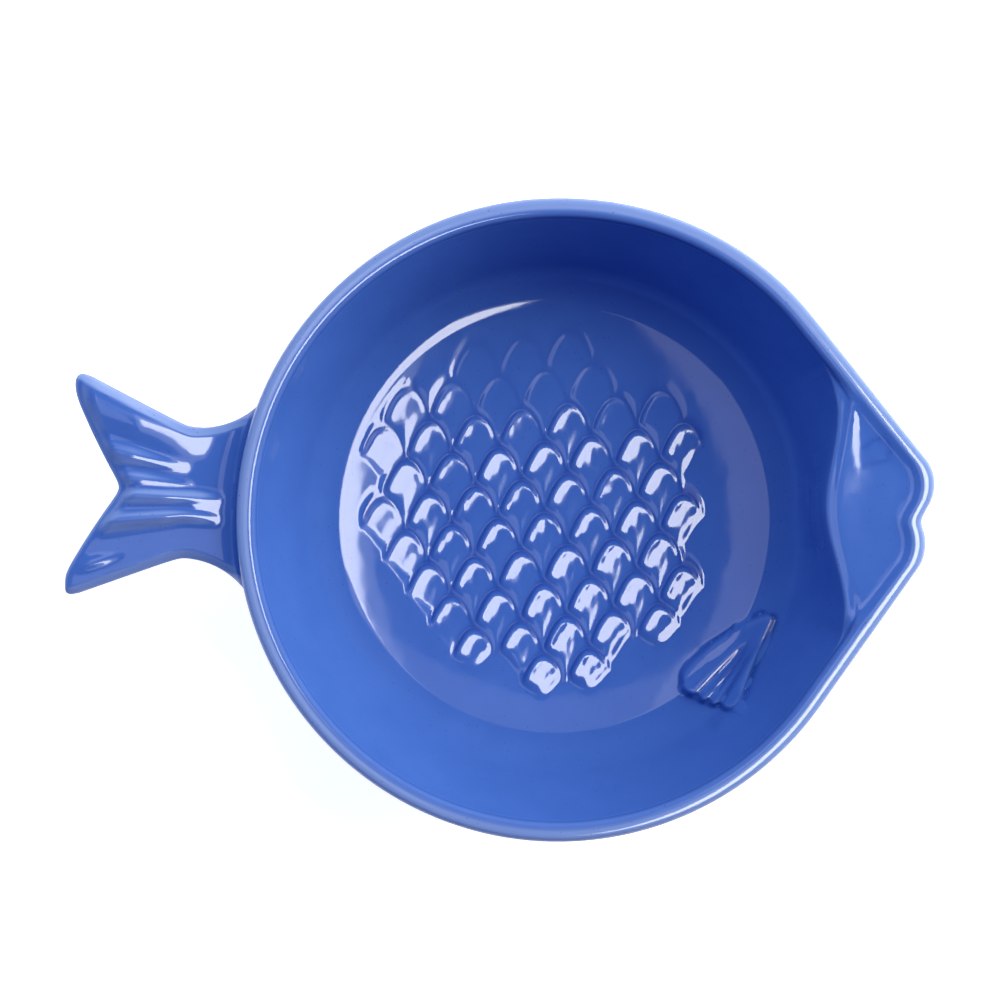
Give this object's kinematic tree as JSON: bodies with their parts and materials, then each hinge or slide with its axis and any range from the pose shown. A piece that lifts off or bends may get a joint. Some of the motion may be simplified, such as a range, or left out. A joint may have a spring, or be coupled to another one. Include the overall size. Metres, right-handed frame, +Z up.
{
  "type": "serving bowl",
  "caption": "Fish-shaped stoneware serving bowl with a forked tail handle, a level head ledge and a moulded bed of scales and fin, glazed blue down to a bare foot ring.",
  "frame": {"origin": "middle of the overall box, on the plane that the foot ring stands on", "axes": "+X from the tail to the head, +Z up out of the hollow, +Y to the fish's back, which is the top of the picture"},
  "size_m": [0.2446, 0.181, 0.05],
  "materials": {
    "bare_clay": "matte",
    "blue_glaze": "gloss"
  },
  "bodies": {
    "root": {"clay_body": "bare_clay", "glaze_coat": "blue_glaze", "recess_glaze": "blue_glaze"}
  },
  "joints": []
}
